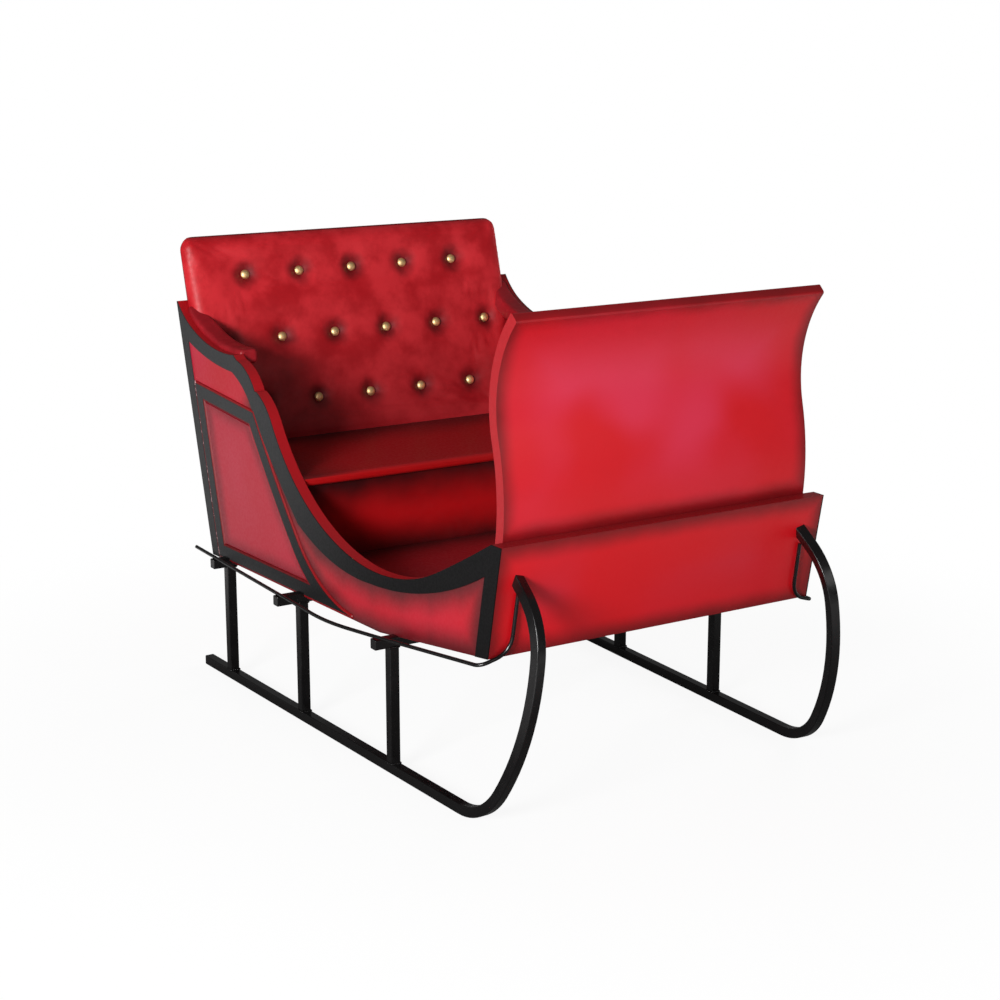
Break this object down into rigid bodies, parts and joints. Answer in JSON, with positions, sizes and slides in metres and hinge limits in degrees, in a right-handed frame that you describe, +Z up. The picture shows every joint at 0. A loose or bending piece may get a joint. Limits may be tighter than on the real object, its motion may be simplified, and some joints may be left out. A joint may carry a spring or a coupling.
{
  "type": "sleigh",
  "caption": "Open bench sleigh with a swooping panelled body, buttoned leather back and curled dash, carried on square steel tube runners that curl up in front",
  "frame": {"origin": "bottom centre of the bounding box: on the ground, on the centre plane, midway between the runners' noses and the top of the back", "axes": "+Z up, -Y is the way the sleigh faces, +X to the right of someone who looks along +Y"},
  "size_m": [1.2666, 1.8476, 1.3],
  "materials": {
    "body_red": "satin red lacquer, darker along the edges",
    "leather_red": "smooth red upholstery leather with a soft sheen",
    "trim_black": "satin black paint",
    "frame_black": "black semi-gloss powder coat on square steel tube",
    "button_brass": "polished brass",
    "bearer_wood": "dark painted timber"
  },
  "bodies": {
    "root": {"arm_pad_left": "leather_red", "arm_pad_right": "leather_red", "back_button_1_1": "button_brass", "back_button_1_2": "button_brass", "back_button_1_3": "button_brass", "back_button_1_4": "button_brass", "back_button_1_5": "button_brass", "back_button_2_1": "button_brass", "back_button_2_2": "button_brass", "back_button_2_3": "button_brass", "back_button_2_4": "button_brass", "back_button_2_5": "button_brass", "back_button_2_6": "button_brass", "back_button_3_1": "button_brass", "back_button_3_2": "button_brass", "back_button_3_3": "button_brass", "back_button_3_4": "button_brass", "back_button_3_5": "button_brass", "back_cushion": "leather_red", "back_panel": "body_red", "border_trim_left": "trim_black", "border_trim_right": "trim_black", "crossbar_1": "frame_black", "crossbar_2": "frame_black", "crossbar_3": "frame_black", "dash_panel": "body_red", "floor_bearer_left": "bearer_wood", "floor_bearer_right": "bearer_wood", "floor_panel": "body_red", "frame_trim_left": "trim_black", "frame_trim_right": "trim_black", "front_board": "body_red", "moulding_left": "body_red", "moulding_right": "body_red", "post_left_1": "frame_black", "post_left_2": "frame_black", "post_left_3": "frame_black", "post_right_1": "frame_black", "post_right_2": "frame_black", "post_right_3": "frame_black", "raised_field_left": "body_red", "raised_field_right": "body_red", "rear_floor": "body_red", "runner_left": "frame_black", "runner_right": "frame_black", "seat_board": "body_red", "seat_cleat": "bearer_wood", "seat_riser": "body_red", "side_panel_left": "body_red", "side_panel_right": "body_red", "side_rod_left": "frame_black", "side_rod_right": "frame_black"}
  },
  "joints": []
}
